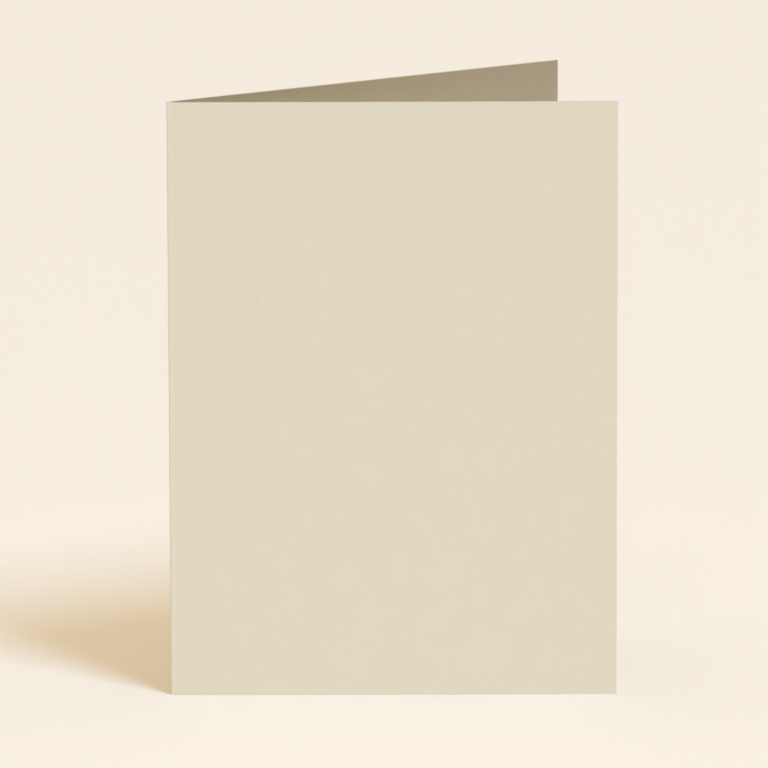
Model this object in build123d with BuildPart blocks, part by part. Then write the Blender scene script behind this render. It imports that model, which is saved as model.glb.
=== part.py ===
from build123d import *
import os
from math import degrees, radians

# A greeting card: one sheet of thick uncoated card, scored down the middle, folded once
# and stood on its lower edge, a little open. The fold is upright at the left, the front
# panel faces -Y and the back panel runs away from it. Millimetres, +Z up along the fold,
# origin at the centre of the ground that the card covers.

# --- The sheet ---
panel_width = 131.0  # one panel on the flat sheet, from the score to its free edge
card_height = 177.8  # along the fold (7 in)
sheet_thickness = 0.9  # double-thick cotton card

# --- The fold ---
opening_angle = 29.3  # between the two panels, in degrees
fold_inner_radius = 0.35  # the inside of the bend
bead_rise = 0.3  # how far the scored bead stands out of the inside of the bend

# --- How the sheet lies ---
front_camber = 0.9  # the front panel's free edge bends this far inwards

# --- Worked out from the above ---
bend_angle = 180 - opening_angle
fold_outer_radius = fold_inner_radius + sheet_thickness
fold_middle_radius = fold_inner_radius + sheet_thickness / 2
fold_half_length = fold_middle_radius * radians(bend_angle) / 2
flat_width = panel_width - fold_half_length  # what is left of a panel beside the bend
bead_radius = fold_inner_radius + bead_rise
fold_centre = (0, fold_outer_radius)
camber_radius = flat_width**2 / (2 * front_camber)


def card_section():
    """The sheet's section, seen from above, with the front panel leaving the fold at the
    sketch's origin."""
    with BuildSketch() as section:
        with BuildLine():
            fold = JernArc((0, 0), (-1, 0), fold_outer_radius, -bend_angle)
            JernArc((0, 0), (1, 0), camber_radius, degrees(flat_width / camber_radius))
            Line(fold @ 1, fold @ 1 + (fold % 1) * flat_width)
            offset(amount=sheet_thickness, side=Side.RIGHT)
        make_face()
        with Locations(fold_centre):
            Circle(bead_radius)
    return section.sketch


section = card_section()
middle = section.bounding_box().center()

with BuildPart() as folded_card:
    with BuildSketch(Plane((-middle.X, -middle.Y, 0))):
        add(section)
    extrude(amount=card_height)

folded_card.part.label = "folded_card"

os.makedirs("parts", exist_ok=True)
export_step(folded_card.part, "parts/folded_card.step")
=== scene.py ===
"""A blank greeting card of thick cotton card, folded once and stood on its lower edge."""

import logging
import math
from collections.abc import Callable
from dataclasses import dataclass, field
from enum import Enum

import bmesh
import bpy
from mathutils import Matrix, Vector


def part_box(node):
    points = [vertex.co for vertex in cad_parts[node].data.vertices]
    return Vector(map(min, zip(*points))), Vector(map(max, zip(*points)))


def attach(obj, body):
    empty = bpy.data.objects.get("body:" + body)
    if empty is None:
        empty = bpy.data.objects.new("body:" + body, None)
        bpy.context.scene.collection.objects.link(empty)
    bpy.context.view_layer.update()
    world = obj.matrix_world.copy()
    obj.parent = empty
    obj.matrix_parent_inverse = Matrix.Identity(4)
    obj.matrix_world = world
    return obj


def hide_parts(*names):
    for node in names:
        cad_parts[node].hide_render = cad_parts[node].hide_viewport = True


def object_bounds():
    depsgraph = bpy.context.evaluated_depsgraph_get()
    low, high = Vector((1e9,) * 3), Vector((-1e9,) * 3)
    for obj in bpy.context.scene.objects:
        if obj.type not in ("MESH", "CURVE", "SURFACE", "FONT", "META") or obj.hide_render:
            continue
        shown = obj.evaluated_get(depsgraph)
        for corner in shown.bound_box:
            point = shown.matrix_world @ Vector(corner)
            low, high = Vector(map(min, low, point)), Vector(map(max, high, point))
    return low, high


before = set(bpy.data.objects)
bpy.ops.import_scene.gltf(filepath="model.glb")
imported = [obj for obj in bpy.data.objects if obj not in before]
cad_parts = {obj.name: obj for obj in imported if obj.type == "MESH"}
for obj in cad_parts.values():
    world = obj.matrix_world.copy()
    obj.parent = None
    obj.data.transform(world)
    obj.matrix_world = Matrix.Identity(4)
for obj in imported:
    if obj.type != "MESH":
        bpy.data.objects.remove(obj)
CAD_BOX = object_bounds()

logging.basicConfig(level=logging.INFO, format="%(name)s: %(message)s")
log = logging.getLogger("greeting_card")

MM = 0.001
TOUCH = MM / 100  # an edge this near to a place stands there
WELD = MM / 1000  # vertices nearer than this are merged
DEPTH_IN_SHEET = "depth_in_sheet"  # the mesh's note of how far through the sheet a place lies
FACES_THAT_WAY = 0.7  # the least cosine at which a face counts as facing one way
MIX_A, MIX_B, MIX_RESULT = 6, 7, 2  # a Mix node's colour sockets, which share their names

Colour = tuple[float, float, float, float]
EdgeTest = Callable[[Vector, Vector], bool]


def linear(hex_colour: str) -> Colour:
    """Turn an sRGB hex colour into the linear colour that the shaders take.

    Args:
        hex_colour: Six hex digits after a hash, such as "#E8DFC8".

    Returns:
        Red, green, blue and an alpha of one.
    """
    channels = [int(hex_colour[i : i + 2], 16) / 255 for i in (1, 3, 5)]
    r, g, b = (c / 12.92 if c <= 0.04045 else ((c + 0.055) / 1.055) ** 2.4 for c in channels)
    return (r, g, b, 1.0)


def per_metre(size_mm: float) -> float:
    """Give the pattern scale, in repeats per metre, of a feature of this size in millimetres."""
    return 1.0 / (size_mm * MM)


def add_node(
    tree: bpy.types.NodeTree, kind: str, links: dict | None = None, **settings: object
) -> bpy.types.Node:
    """Add one shader node with its settings, socket values and incoming links.

    Args:
        tree: The node tree that the node goes into.
        kind: The node's type, such as "ShaderNodeMix".
        links: Input name or number to a value, or to the output socket that feeds it.
        **settings: Properties of the node itself.

    Returns:
        The new node.
    """
    node = tree.nodes.new(kind)
    for name, value in settings.items():
        setattr(node, name, value)
    for key, value in (links or {}).items():
        if isinstance(value, bpy.types.NodeSocket):
            tree.links.new(value, node.inputs[key])
        else:
            node.inputs[key].default_value = value
    return node


def deselect_all() -> None:
    """Leave no object selected or active, because an operator acts on all that is."""
    bpy.ops.object.select_all(action="DESELECT")
    bpy.context.view_layer.objects.active = None


def make_active(piece: bpy.types.Object) -> None:
    """Select one object and nothing else.

    Args:
        piece: The object that the next operators act on.
    """
    deselect_all()
    piece.select_set(True)
    bpy.context.view_layer.objects.active = piece


def upright_at(x: float, y: float) -> EdgeTest:
    """Make a test for the upright edge that stands at one place.

    Args:
        x: The place across.
        y: The place in depth.

    Returns:
        A function of an edge's two ends that says whether the edge stands there.
    """
    place = Vector((x, y))
    return lambda low, high: all((end.xy - place).length < TOUCH for end in (low, high))


def select_edges(piece: bpy.types.Object, wanted: EdgeTest) -> None:
    """Select, in edit mode, the edges for which a test holds.

    Args:
        piece: The object that is in edit mode.
        wanted: A function of an edge's two ends that says whether it is wanted.
    """
    bpy.ops.mesh.select_mode(type="EDGE")
    bpy.ops.mesh.select_all(action="DESELECT")
    mesh = bmesh.from_edit_mesh(piece.data)
    for edge in mesh.edges:
        if wanted(*(v.co for v in edge.verts)):
            edge.select_set(True)
    mesh.select_flush(True)
    bmesh.update_edit_mesh(piece.data)


class SheetSurface(Enum):
    """The two kinds of surface that a cut sheet of card has, by material slot."""

    FACE = 0
    CUT_EDGE = 1


@dataclass(frozen=True)
class CottonCard:
    """Uncoated cotton card, air-dried on felts: matt and toothy, and never quite one shade."""

    shade: str = "#E4DAC5"  # warm ivory of undyed cotton with a little straw in it
    thick_spot: str = "#E1D6C0"  # where the pulp lies thicker it is a touch deeper
    fibre: str = "#EBE3D1"  # single fibres lie paler on the surface
    cloud_mm: float = 9.0  # formation: the pulp's soft clouds
    fibre_length_mm: float = 2.2
    fibre_width_mm: float = 0.3  # real fibres are 0.03 mm, drawn ten times as wide to show
    fibre_turns: tuple[float, float] = (math.radians(34), math.radians(-47))
    fibre_starts: float = 0.62  # the noise above which a fibre begins to show
    fibre_full: float = 0.78
    fibre_cover: float = 0.45  # how far a fibre hides the pulp under it
    tooth_mm: float = 0.8  # the felt's tooth is about 0.4 mm, drawn twice as coarse to show
    tooth_depth_mm: float = 0.02
    tooth_strength: float = 0.5
    worn_tooth: float = 0.8  # what full wear adds to the tooth's strength
    wear_and_highlight: float = 0.12  # how far the bend is paled: its opened fibres, and a painted highlight on the bend
    wear_and_highlight_reach: float = 1.1  # where the paling, wear and painted highlight alike, ends, in outside radii of the bend
    roughness: float = 0.9
    specular: float = 0.25

    def material(self, fold: Vector, fold_radius: float) -> bpy.types.Material:
        """Build the sheet's face material.

        Args:
            fold: A point on the fold's axis, which is upright.
            fold_radius: The outside radius of the bend.

        Returns:
            The material.
        """
        # Nothing coats it, so light sinks in and comes back soft, with no gloss.
        made = bpy.data.materials.new("cotton_card_face")
        made.use_nodes = True
        tree = made.node_tree
        shader = tree.nodes["Principled BSDF"]
        place = add_node(tree, "ShaderNodeTexCoord").outputs["Object"]
        colour = self.pulp(tree, place)
        colour = self.fibres(tree, place, colour)
        # The bend is paled towards the fibres' shade: partly its opened fibres, partly a painted
        # highlight on the bend.
        wear_and_highlight_mask = self.fold_wear_and_highlight(tree, place, fold, fold_radius)
        colour = add_node(
            tree, "ShaderNodeMix", {"Factor": wear_and_highlight_mask, MIX_A: colour, MIX_B: linear(self.fibre)},
            data_type="RGBA",
        ).outputs[MIX_RESULT]
        tree.links.new(colour, shader.inputs["Base Color"])
        tree.links.new(self.tooth(tree, place, wear_and_highlight_mask), shader.inputs["Normal"])
        shader.inputs["Roughness"].default_value = self.roughness
        shader.inputs["Specular IOR Level"].default_value = self.specular
        return made

    def pulp(self, tree: bpy.types.NodeTree, place: bpy.types.NodeSocket) -> bpy.types.NodeSocket:
        """Shade the pulp in soft clouds.

        Args:
            tree: The material's node tree.
            place: The place on the card.

        Returns:
            The pulp's colour.
        """
        cloud = add_node(
            tree, "ShaderNodeTexNoise",
            {"Vector": place, "Scale": per_metre(self.cloud_mm), "Detail": 3.0, "Roughness": 0.6},
        )
        return add_node(
            tree, "ShaderNodeMix",
            {
                "Factor": cloud.outputs["Fac"],
                MIX_A: linear(self.shade),
                MIX_B: linear(self.thick_spot),
            },
            data_type="RGBA",
        ).outputs[MIX_RESULT]

    def fibres(
        self, tree: bpy.types.NodeTree, place: bpy.types.NodeSocket, colour: bpy.types.NodeSocket
    ) -> bpy.types.NodeSocket:
        """Lay short pale fibres over the pulp, in two crossing directions.

        Args:
            tree: The material's node tree.
            place: The place on the card.
            colour: The colour that the fibres lie on.

        Returns:
            The colour with its fibres.
        """
        width = self.fibre_width_mm * MM
        strand_size = (self.fibre_length_mm * MM, width, width)
        for turn in self.fibre_turns:
            lie = add_node(
                tree, "ShaderNodeMapping",
                {"Vector": place, "Rotation": (0.0, turn, 0.0), "Scale": strand_size},
                vector_type="TEXTURE",
            )
            strand = add_node(
                tree, "ShaderNodeTexNoise",
                {"Vector": lie.outputs["Vector"], "Scale": 1.0, "Detail": 1.0},
            )
            shown = add_node(
                tree, "ShaderNodeMapRange",
                {
                    "Value": strand.outputs["Fac"],
                    "From Min": self.fibre_starts, "From Max": self.fibre_full,
                    "To Min": 0.0, "To Max": self.fibre_cover,
                },
            )
            colour = add_node(
                tree, "ShaderNodeMix",
                {
                    "Factor": shown.outputs["Result"],
                    MIX_A: colour,
                    MIX_B: linear(self.fibre),
                },
                data_type="RGBA",
            ).outputs[MIX_RESULT]
        return colour

    def fold_wear_and_highlight(
        self, tree: bpy.types.NodeTree, place: bpy.types.NodeSocket, fold: Vector,
        fold_radius: float,
    ) -> bpy.types.NodeSocket:
        """Find where the bend is paled: where it has opened the surface, and a painted highlight
        on the bend.

        Args:
            tree: The material's node tree.
            place: The place on the card.
            fold: A point on the fold's axis, which is upright.
            fold_radius: The outside radius of the bend.

        Returns:
            The wear and painted highlight on the bend, fading to none beside it.
        """
        from_fold = add_node(
            tree, "ShaderNodeMapping",
            {"Vector": place, "Location": (-fold.x, -fold.y, 0.0), "Scale": (1.0, 1.0, 0.0)},
        )
        distance = add_node(
            tree, "ShaderNodeVectorMath", {0: from_fold.outputs["Vector"]}, operation="LENGTH"
        )
        return add_node(
            tree, "ShaderNodeMapRange",
            {
                "Value": distance.outputs["Value"],
                "From Min": fold_radius, "From Max": fold_radius * self.wear_and_highlight_reach,
                "To Min": self.wear_and_highlight, "To Max": 0.0,
            },
            interpolation_type="SMOOTHSTEP",
        ).outputs["Result"]

    def tooth(
        self, tree: bpy.types.NodeTree, place: bpy.types.NodeSocket, wear_and_highlight_mask: bpy.types.NodeSocket
    ) -> bpy.types.NodeSocket:
        """Press the felt's fine tooth in, deeper where the fold has roughened it.

        Args:
            tree: The material's node tree.
            place: The place on the card.
            wear_and_highlight_mask: The wear and painted highlight on the bend.

        Returns:
            The normal of the toothed surface.
        """
        grain = add_node(
            tree, "ShaderNodeTexNoise",
            {"Vector": place, "Scale": per_metre(self.tooth_mm), "Detail": 4.0, "Roughness": 0.65},
        )
        depth = add_node(
            tree, "ShaderNodeMath", {0: wear_and_highlight_mask, 1: self.worn_tooth, 2: self.tooth_strength},
            operation="MULTIPLY_ADD",
        )
        return add_node(
            tree, "ShaderNodeBump",
            {
                "Strength": depth.outputs["Value"],
                "Distance": self.tooth_depth_mm * MM,
                "Height": grain.outputs["Fac"],
            },
        ).outputs["Normal"]


@dataclass(frozen=True)
class CutCardEdge:
    """The guillotined edge of cotton card: open fibre ends in thin layers."""

    shade: str = "#E3D9C4"
    layer: str = "#D8CCB5"  # between its layers the pulp is looser and a little deeper in shade
    layer_mm: float = 0.22  # the pulp's layers lie 0.1 mm apart, drawn twice as coarse to show
    run_mm: float = 5.0  # how far one layer can be followed along the edge
    fibre_end_mm: float = 0.03
    fibre_end_strength: float = 0.6
    roughness: float = 0.95
    specular: float = 0.2

    def material(self) -> bpy.types.Material:
        """Build the cut edge's material.

        Returns:
            The material.
        """
        # The blade leaves fibre ends open, so the edge is drier and flatter than the face.
        made = bpy.data.materials.new("cotton_card_cut_edge")
        made.use_nodes = True
        tree = made.node_tree
        shader = tree.nodes["Principled BSDF"]
        place = add_node(tree, "ShaderNodeTexCoord").outputs["Object"]
        along = add_node(tree, "ShaderNodeSeparateXYZ", {"Vector": place})
        depth = add_node(tree, "ShaderNodeAttribute", attribute_name=DEPTH_IN_SHEET)
        in_sheet = add_node(
            tree, "ShaderNodeCombineXYZ",
            {"X": along.outputs["X"], "Y": depth.outputs["Fac"], "Z": along.outputs["Z"]},
        )
        run = self.run_mm * MM
        layer_size = add_node(
            tree, "ShaderNodeMapping",
            {"Vector": in_sheet.outputs["Vector"], "Scale": (run, self.layer_mm * MM, run)},
            vector_type="TEXTURE",
        )
        layers = add_node(
            tree, "ShaderNodeTexNoise",
            {"Vector": layer_size.outputs["Vector"], "Scale": 1.0, "Detail": 2.0},
        )
        colour = add_node(
            tree, "ShaderNodeMix",
            {
                "Factor": layers.outputs["Fac"],
                MIX_A: linear(self.shade),
                MIX_B: linear(self.layer),
            },
            data_type="RGBA",
        )
        tree.links.new(colour.outputs[MIX_RESULT], shader.inputs["Base Color"])
        ends = add_node(
            tree, "ShaderNodeBump",
            {
                "Strength": self.fibre_end_strength,
                "Distance": self.fibre_end_mm * MM,
                "Height": layers.outputs["Fac"],
            },
        )
        tree.links.new(ends.outputs["Normal"], shader.inputs["Normal"])
        shader.inputs["Roughness"].default_value = self.roughness
        shader.inputs["Specular IOR Level"].default_value = self.specular
        return made


@dataclass(frozen=True)
class SeamlessPaper:
    """Plain studio backdrop paper: an even cream ground that takes soft shadows."""

    shade: str = "#F9EEDF"

    def material(self) -> bpy.types.Material:
        """Build the backdrop's material.

        Returns:
            The material.
        """
        # It is dead matt, so neither a lamp nor the card shows in it.
        made = bpy.data.materials.new("backdrop_paper")
        made.use_nodes = True
        shader = made.node_tree.nodes["Principled BSDF"]
        shader.inputs["Base Color"].default_value = linear(self.shade)
        shader.inputs["Roughness"].default_value = 1.0
        shader.inputs["Specular IOR Level"].default_value = 0.0
        return made


@dataclass
class FoldedCard:
    """One sheet of card, scored down the middle and folded; its front panel faces -Y.

    The sizes are those of the sheet and its fold. The card's place comes from the frame: the
    fold's outside touches the box's left, and the front panel's start touches its front.
    """

    thickness: float = 0.9 * MM
    opening: float = math.radians(29.3)
    fold_inner_radius: float = 0.35 * MM
    bead_rise: float = 0.3 * MM
    front_camber: float = 0.9 * MM
    eased_edge: float = 0.06 * MM  # the guillotine leaves the cut edges very slightly rounded
    ease_above: float = math.radians(75)  # the cut edges turn by 90 degrees, the bend by far less
    ease_steps: int = 2
    smooth_below: float = math.radians(20)  # smooth round the bend, flat up to an eased edge
    fold_steps: int = 32
    camber_steps: int = 32
    face: CottonCard = field(default_factory=CottonCard)
    cut: CutCardEdge = field(default_factory=CutCardEdge)
    height: float = field(init=False)
    panel: float = field(init=False)
    fold_axis: Vector = field(init=False)
    back_along: Vector = field(init=False)
    back_outwards: Vector = field(init=False)
    fold_outer_radius: float = field(init=False)
    fold_middle_radius: float = field(init=False)
    bead_radius: float = field(init=False)

    def __post_init__(self) -> None:
        """Work out the sizes that follow, and where the card stands."""
        low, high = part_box("folded_card")
        self.height = high.z - low.z
        self.fold_outer_radius = self.fold_inner_radius + self.thickness
        self.fold_middle_radius = self.fold_inner_radius + self.thickness / 2
        self.bead_radius = self.fold_inner_radius + self.bead_rise
        self.fold_axis = low + Vector((self.fold_outer_radius, self.fold_outer_radius, 0.0))
        self.panel = high.x - self.fold_axis.x
        self.back_along = Vector((math.cos(self.opening), math.sin(self.opening), 0.0))
        self.back_outwards = Vector((-self.back_along.y, self.back_along.x, 0.0))

    def build(self) -> bpy.types.Object:
        """Fold, thicken and score the sheet, ease its cut edges and dress it.

        Returns:
            The finished card, in place.
        """
        card = self.lay_back_panel()
        self.fold_over(card)
        self.thicken(card)
        self.raise_bead(card)
        self.ease_cut_edges(card)
        self.dress(card)
        return card

    def lay_back_panel(self) -> bpy.types.Object:
        """Stand up the middle surface of the back panel, at its opening.

        Returns:
            The sheet's first panel, in place.
        """
        centre = self.fold_axis + Vector((0.0, 0.0, self.height / 2))
        centre += self.back_outwards * self.fold_middle_radius + self.back_along * self.panel / 2
        deselect_all()
        bpy.ops.mesh.primitive_plane_add(
            size=1, location=centre, rotation=(math.pi / 2, 0, self.opening)
        )
        card = bpy.context.active_object
        card.name = card.data.name = "card_sheet"
        card.scale = (self.panel, self.height, 1)
        bpy.ops.object.transform_apply(location=True, rotation=True, scale=True)
        return card

    def fold_over(self, card: bpy.types.Object) -> None:
        """Bend the sheet round at the score, and run its front panel out with a slight camber.

        Args:
            card: The sheet's back panel.
        """
        axis, radius = self.fold_axis, self.fold_middle_radius
        bend_start = axis + self.back_outwards * radius
        camber_radius = (self.panel**2 + self.front_camber**2) / (2 * self.front_camber)
        make_active(card)
        bpy.ops.object.mode_set(mode="EDIT")
        select_edges(card, upright_at(bend_start.x, bend_start.y))
        bpy.ops.mesh.spin(
            steps=self.fold_steps, angle=math.pi - self.opening, center=axis, axis=(0, 0, -1)
        )
        select_edges(card, upright_at(axis.x, axis.y - radius))
        bpy.ops.mesh.spin(
            steps=self.camber_steps, angle=math.asin(self.panel / camber_radius),
            center=axis + Vector((0.0, camber_radius - radius, 0.0)), axis=(0, 0, -1),
        )
        bpy.ops.mesh.select_all(action="SELECT")
        bpy.ops.mesh.remove_doubles(threshold=WELD)
        bpy.ops.mesh.normals_make_consistent(inside=False)
        bpy.ops.object.mode_set(mode="OBJECT")

    def thicken(self, card: bpy.types.Object) -> None:
        """Give the middle surface the card's thickness, half to each side.

        Args:
            card: The folded sheet, without thickness.
        """
        make_active(card)
        solid = card.modifiers.new("thickness", "SOLIDIFY")
        solid.thickness = self.thickness
        solid.offset = 0.0
        solid.use_even_offset = True
        bpy.ops.object.modifier_apply(modifier=solid.name)

    def raise_bead(self, card: bpy.types.Object) -> None:
        """Press up the bead that scoring leaves along the inside of the fold.

        The bend's inner wall is turned over about the fold's axis, out to the bead's radius.

        Args:
            card: The folded sheet, with its thickness.
        """
        bend_wall = self.fold_inner_radius * 1.05  # a little past it, to allow for rounding
        base = math.asin(self.fold_inner_radius / self.bead_radius)
        first, last = -base, self.opening + base
        bend = math.pi - self.opening
        bend_middle = -(math.pi + bend) / 2
        for vertex in card.data.vertices:
            away = (vertex.co - self.fold_axis).xy
            if away.length > bend_wall:
                continue
            # Taken from the bend's middle, a turn can't wrap round to the bend's far side.
            turn = (math.atan2(away.y, away.x) - bend_middle + math.pi) % math.tau - math.pi
            share = min(max(0.5 - turn / bend, 0.0), 1.0)
            angle = first + (last - first) * share
            vertex.co.x = self.fold_axis.x + self.bead_radius * math.cos(angle)
            vertex.co.y = self.fold_axis.y + self.bead_radius * math.sin(angle)

    def ease_cut_edges(self, card: bpy.types.Object) -> None:
        """Round the sheet's cut edges by a hair, and shade its bend smoothly.

        Args:
            card: The scored sheet.
        """
        make_active(card)
        ease = card.modifiers.new("eased_edges", "BEVEL")
        ease.width = self.eased_edge
        ease.segments = self.ease_steps
        ease.limit_method = "ANGLE"
        ease.angle_limit = self.ease_above
        bpy.ops.object.modifier_apply(modifier=ease.name)
        bpy.ops.object.shade_smooth_by_angle(angle=self.smooth_below)

    def surface_of(self, polygon: bpy.types.MeshPolygon) -> SheetSurface:
        """Say which kind of surface a polygon of the finished sheet is.

        Args:
            polygon: A polygon of the card's mesh.

        Returns:
            CUT_EDGE on the top, the foot and the two free ends, and FACE elsewhere.
        """
        from_fold = (polygon.center - self.fold_axis).xy
        at_end = from_fold.length > self.panel - self.thickness
        end_on = from_fold.normalized().dot(polygon.normal.xy) > FACES_THAT_WAY
        level = abs(polygon.normal.z) > FACES_THAT_WAY
        return SheetSurface.CUT_EDGE if level or (at_end and end_on) else SheetSurface.FACE

    def depth_at(self, place: Vector) -> float:
        """Measure how far through the sheet a place lies.

        Args:
            place: A place on the finished sheet.

        Returns:
            Its distance from the sheet's inner face.
        """
        away = (place - self.fold_axis).xy
        if away.x > 0 and away.y < 0:
            from_fold = self.front_camber * (away.x / self.panel) ** 2 - away.y
        elif away.dot(self.back_along.xy) > 0:
            from_fold = away.dot(self.back_outwards.xy)
        else:
            from_fold = away.length
        return from_fold - self.fold_inner_radius

    def dress(self, card: bpy.types.Object) -> None:
        """Give the faces and the cut edges their finishes.

        Args:
            card: The finished shape.
        """
        depth = card.data.attributes.new(DEPTH_IN_SHEET, "FLOAT", "POINT")
        for vertex, noted in zip(card.data.vertices, depth.data):
            noted.value = self.depth_at(vertex.co)
        card.data.materials.append(self.face.material(self.fold_axis, self.fold_outer_radius))
        card.data.materials.append(self.cut.material())
        for polygon in card.data.polygons:
            polygon.material_index = self.surface_of(polygon).value


@dataclass
class StudioLamp:
    """A soft area lamp, aimed at the card and flagged off everything but one thing.

    Its distance, width and height are in metres.
    """

    name: str
    colour: str
    watts: float
    azimuth: float  # degrees round from straight in front of the card, towards its free edges
    elevation: float  # degrees above the floor
    flagged_for: bpy.types.Object
    distance: float = 4.0
    width: float = 1.0
    height: float = 1.0

    def hang(self, aim: Vector) -> None:
        """Add the lamp to the scene.

        Args:
            aim: The point that the lamp faces.
        """
        turn, rise = math.radians(self.azimuth), math.radians(self.elevation)
        way = Vector(
            (math.sin(turn) * math.cos(rise), -math.cos(turn) * math.cos(rise), math.sin(rise))
        )
        data = bpy.data.lights.new(self.name, "AREA")
        data.shape = "RECTANGLE"
        data.size, data.size_y = self.width, self.height
        data.energy = self.watts
        data.color = linear(self.colour)[:3]
        lamp = bpy.data.objects.new(self.name, data)
        bpy.context.scene.collection.objects.link(lamp)
        lamp.location = aim + way * self.distance
        lamp.rotation_euler = way.to_track_quat("Z", "Y").to_euler()
        lamp.visible_camera = False
        flag(lamp, self.flagged_for)
        log.info("%s: %.0f W from %.1f m", self.name, self.watts, self.distance)


def flag(lamp: bpy.types.Object, lit: bpy.types.Object) -> None:
    """Let a lamp light one object only, as a studio's flags do; everything still shades it.

    Args:
        lamp: The lamp.
        lit: The one object that it lights.
    """
    lamp.light_linking.receiver_collection = bpy.data.collections.new(f"lit_by_{lamp.name}")
    lamp.light_linking.receiver_collection.objects.link(lit)


@dataclass
class Studio:
    """A cream sweep under a soft sky, with lamps that light either the sweep or the card."""

    card: bpy.types.Object
    paper: SeamlessPaper = field(default_factory=SeamlessPaper)
    sweep_size: float = 60.0  # metres along each side
    sky_horizon: str = "#E7E0D4"
    sky_low: str = "#000000"
    sky_high: str = "#4F4953"
    wash_shade: str = "#FFF0CE"
    wash_strength: float = 2.21
    wash_spread: float = math.radians(90)
    wash_tilt: float = math.radians(5)
    lamps_aim_up: float = 80 * MM  # the height on the card that the lamps face

    def build(self) -> None:
        """Lay the sweep, light the sky and hang the lamps."""
        sweep = self.lay_sweep()
        self.light_sky()
        self.wash(sweep)
        aim = Vector((0.0, 0.0, self.lamps_aim_up))
        for lamp in (
            StudioLamp(
                "key", "#AAD1FF", watts=16150, azimuth=41, elevation=54.3, distance=50.04,
                width=13.44, height=20.4, flagged_for=sweep,
            ),
            StudioLamp(
                "fill", "#EDF7FF", watts=47.5, azimuth=5, elevation=0, distance=3.0,
                width=0.6, height=0.15, flagged_for=self.card,
            ),
            StudioLamp(
                "rim", "#F8FFFE", watts=198, azimuth=135, elevation=30, flagged_for=self.card
            ),
            StudioLamp("top", "#FFFFFF", watts=38, azimuth=0, elevation=90, flagged_for=self.card),
            StudioLamp(
                "side", "#FFFFFF", watts=52, azimuth=-90, elevation=0, flagged_for=self.card
            ),
        ):
            lamp.hang(aim)

    def lay_sweep(self) -> bpy.types.Object:
        """Lay the plain cream floor that also fills the view behind the card.

        Returns:
            The sweep.
        """
        deselect_all()
        bpy.ops.mesh.primitive_plane_add(size=self.sweep_size, location=(0, 0, CAD_BOX[0].z))
        sweep = bpy.context.active_object
        sweep.name = "sweep"
        sweep.data.materials.append(self.paper.material())
        log.info("sweep: %.0f m square", self.sweep_size)
        return sweep

    def light_sky(self) -> None:
        """Give the world a soft glow: overhead, and pale where it meets the sweep."""
        world = bpy.data.worlds.new("soft_sky")
        bpy.context.scene.world = world
        world.use_nodes = True
        tree = world.node_tree
        way = add_node(tree, "ShaderNodeTexCoord").outputs["Generated"]
        height = add_node(tree, "ShaderNodeSeparateXYZ", {"Vector": way}).outputs["Z"]
        ramp = add_node(tree, "ShaderNodeValToRGB", {"Fac": height})
        ramp.color_ramp.interpolation = "EASE"
        stops = (  # the sine of the height above the horizon, and the glow there
            (0.04, self.sky_horizon), (0.08, self.sky_low),
            (0.48, self.sky_low), (0.52, self.sky_high),
        )
        while len(ramp.color_ramp.elements) < len(stops):
            ramp.color_ramp.elements.new(0.5)
        for element, (place, shade) in zip(ramp.color_ramp.elements, stops):
            element.position, element.color = place, linear(shade)
        tree.links.new(ramp.outputs["Color"], tree.nodes["Background"].inputs["Color"])

    def wash(self, sweep: bpy.types.Object) -> None:
        """Wash the sweep with broad, even light from above and a little in front.

        Args:
            sweep: The only thing that the wash lights.
        """
        data = bpy.data.lights.new("wash", "SUN")
        data.energy = self.wash_strength
        data.angle = self.wash_spread
        data.color = linear(self.wash_shade)[:3]
        lamp = bpy.data.objects.new("wash", data)
        lamp.rotation_euler.x = self.wash_tilt
        bpy.context.scene.collection.objects.link(lamp)
        flag(lamp, sweep)
        log.info("wash: strength %.2f", self.wash_strength)


@dataclass
class ViewCamera:
    """A long lens, nearly square on to the front panel and a little above it."""

    lens: float = 444.35  # millimetres
    distance: float = 2.7722  # metres from the point that it aims at
    pitch: float = math.radians(12.81)
    yaw: float = math.radians(0.43)
    roll: float = math.radians(-0.161)
    aim_left: float = 2.6 * MM  # how far left of the box's middle the lens points
    aim_behind: float = 1.0 * MM  # how far behind the front panel
    aim_height: float = 0.5272  # as a share of the card's height
    clip_end: float = 100.0  # past the sweep's far edge

    def build(self) -> None:
        """Place the camera and make it the scene's."""
        low, high = CAD_BOX
        aim = Vector((-self.aim_left, low.y + self.aim_behind, self.aim_height * (high.z - low.z)))
        data = bpy.data.cameras.new("view")
        data.lens = self.lens
        data.clip_end = self.clip_end
        camera = bpy.data.objects.new("view", data)
        bpy.context.scene.collection.objects.link(camera)
        camera.matrix_world = (
            Matrix.Translation(aim)
            @ Matrix.Rotation(self.yaw, 4, "Z")
            @ Matrix.Rotation(math.pi / 2 - self.pitch, 4, "X")
            @ Matrix.Translation((0, 0, self.distance))
            @ Matrix.Rotation(self.roll, 4, "Z")
        )
        bpy.context.scene.camera = camera
        log.info("view: %.0f mm lens from %.2f m", self.lens, self.distance)


def main() -> None:
    """Build the card, the studio and the camera."""
    card = FoldedCard().build()
    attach(card, "root")
    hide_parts("folded_card")
    log.info("card_sheet: %d faces", len(card.data.polygons))
    Studio(card).build()
    ViewCamera().build()
    bpy.context.scene.view_settings.view_transform = "Standard"


if __name__ == "__main__":
    main()
